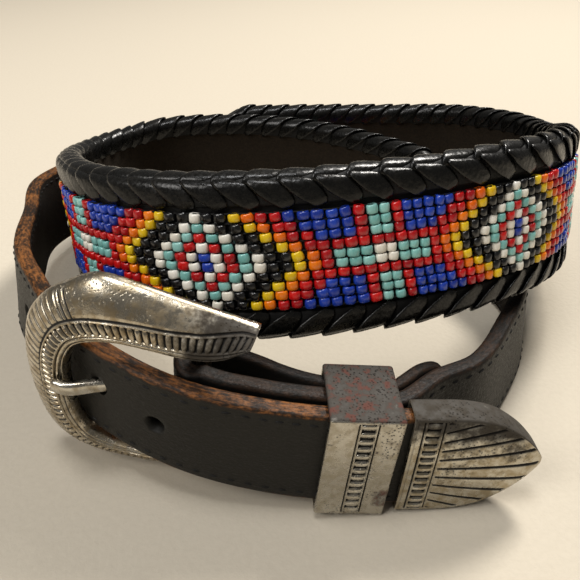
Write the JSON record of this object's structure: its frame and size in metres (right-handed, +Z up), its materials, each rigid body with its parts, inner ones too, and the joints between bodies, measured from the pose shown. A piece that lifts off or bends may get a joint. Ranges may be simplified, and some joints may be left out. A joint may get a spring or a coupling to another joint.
{
  "type": "beaded leather belt",
  "caption": "Buckled western leather belt lying coiled, with a loom-beaded band, braided laced edges and an engraved silver buckle, keeper and tip",
  "frame": {"origin": "centre of the bounding box's base, on the surface that the coil rests on", "axes": "+Z up along the straps' width, -Y towards the buckle, +X from the buckle towards the tip"},
  "size_m": [0.1728, 0.1658, 0.0661],
  "materials": {
    "leather": "smooth black-brown strap leather with burnished copper-brown edges, suede-like inside",
    "lacing": "flat black glossy leather strands braided over the edges",
    "beads": "opaque glossy glass seed beads in blue, red, orange, yellow, turquoise, white and black",
    "silver": "antiqued silver plate, engraved, with dark tarnish in the cuts"
  },
  "bodies": {
    "root": {"billet": "leather", "belt_body": "leather", "buckle_strap": "leather", "bead_strip": "beads", "upper_lacing": "lacing", "lower_lacing": "lacing", "buckle_frame": "silver", "buckle_prong": "silver", "keeper": "silver", "tip": "silver"}
  },
  "joints": []
}
